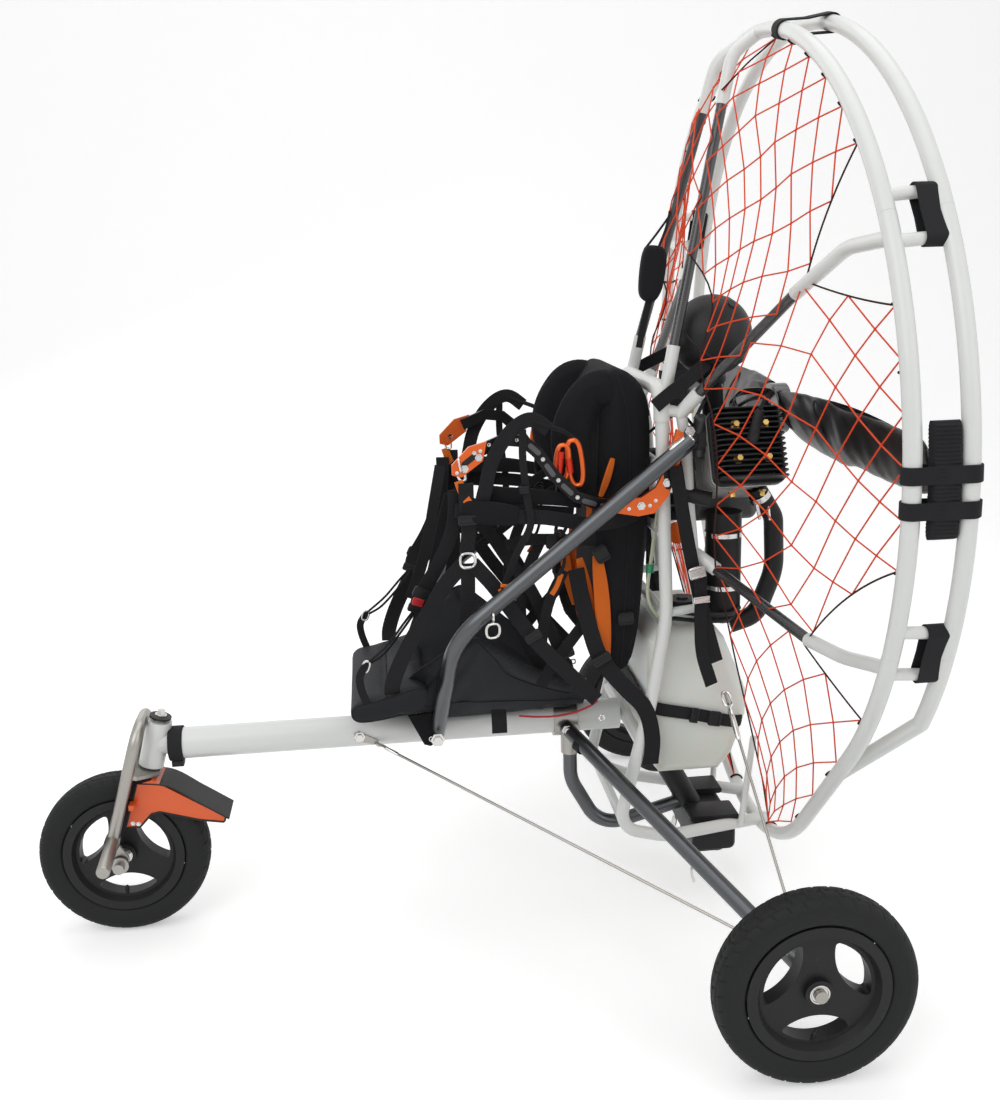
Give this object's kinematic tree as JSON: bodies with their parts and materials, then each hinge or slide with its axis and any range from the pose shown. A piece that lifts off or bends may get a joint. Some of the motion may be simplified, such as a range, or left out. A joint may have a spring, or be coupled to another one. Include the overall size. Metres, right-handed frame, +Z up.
{
  "type": "paramotor trike",
  "caption": "Three-wheeled undercarriage with a powered paraglider's seat, engine, propeller and netted cage.",
  "frame": {"origin": "middle of the bounding box, on the ground", "axes": "+X to the rear, +Y to the pilot's right, +Z up"},
  "size_m": [1.4538, 1.367, 1.6012],
  "materials": {
    "white_tube": "white powder coat",
    "grey_tube": "dark grey anodised tube",
    "steel": "brushed stainless",
    "orange_plate": "orange anodised",
    "black_metal": "black anodised",
    "carbon_rod": "carbon fibre tube",
    "tyre": "black rubber",
    "wheel_plastic": "moulded black plastic",
    "black_plastic": "moulded black plastic",
    "propeller": "gloss black carbon",
    "engine_cast": "cast alloy",
    "exhaust_steel": "blackened steel",
    "tank_plastic": "translucent white plastic",
    "harness_fabric": "black woven nylon",
    "webbing": "black webbing"
  },
  "bodies": {
    "root": {"main_tube": "white_tube", "collar_and_lugs": "steel", "cradle_tube": "grey_tube", "arm_left": "grey_tube", "arm_right": "grey_tube", "rear_axles": "steel", "frame_left": "white_tube", "frame_right": "white_tube", "rear_uprights": "white_tube", "cross_tubes": "white_tube", "cage_top": "white_tube", "cage_left": "white_tube", "cage_right": "white_tube", "cage_bottom": "white_tube", "upper_rods": "carbon_rod", "side_rods_upper": "carbon_rod", "side_rods_lower": "carbon_rod", "side_bar_left": "grey_tube", "side_bar_right": "grey_tube", "crankcase": "engine_cast", "cylinder": "engine_cast", "airbox": "black_plastic", "exhaust": "exhaust_steel", "drive_plate": "black_metal", "fuel_tank": "tank_plastic", "seat_pan": "harness_fabric", "backrest": "harness_fabric", "comfort_arms": "black_metal", "arm_plates": "orange_plate", "frame_hoop": "white_tube", "base_bracket": "black_metal", "seat_board": "harness_fabric", "shoulder_pads": "harness_fabric", "engine_mounts": "orange_plate", "cage_pads": "harness_fabric", "front_stays": "steel", "rear_stays": "steel", "stay_straps": "webbing"},
    "fork": {"fork": "steel", "front_axle": "steel", "mudguard": "orange_plate"},
    "front_wheel": {"front_rim": "wheel_plastic", "front_tyre": "tyre"},
    "left_wheel": {"left_rim": "wheel_plastic", "left_tyre": "tyre"},
    "right_wheel": {"right_rim": "wheel_plastic", "right_tyre": "tyre"},
    "propeller": {"propeller": "propeller"}
  },
  "joints": [
    {"name": "steering", "type": "hinge", "parent": "root", "child": "fork", "pos_m": [-0.4838, 0, 0.412], "axis": [0.2656, 0, 0.9641], "range_deg": [-35, 35]},
    {"name": "front_wheel_spin", "type": "hinge", "parent": "fork", "child": "front_wheel", "pos_m": [-0.5698, 0, 0.157], "axis": [0, 1, 0], "continuous": true},
    {"name": "left_wheel_spin", "type": "hinge", "parent": "root", "child": "left_wheel", "pos_m": [0.5472, -0.608, 0.157], "axis": [0, 1, 0], "continuous": true},
    {"name": "right_wheel_spin", "type": "hinge", "parent": "root", "child": "right_wheel", "pos_m": [0.5472, 0.608, 0.157], "axis": [0, 1, 0], "continuous": true},
    {"name": "propeller_spin", "type": "hinge", "parent": "root", "child": "propeller", "pos_m": [0.6752, 0, 0.94], "axis": [1, 0, 0], "continuous": true}
  ]
}
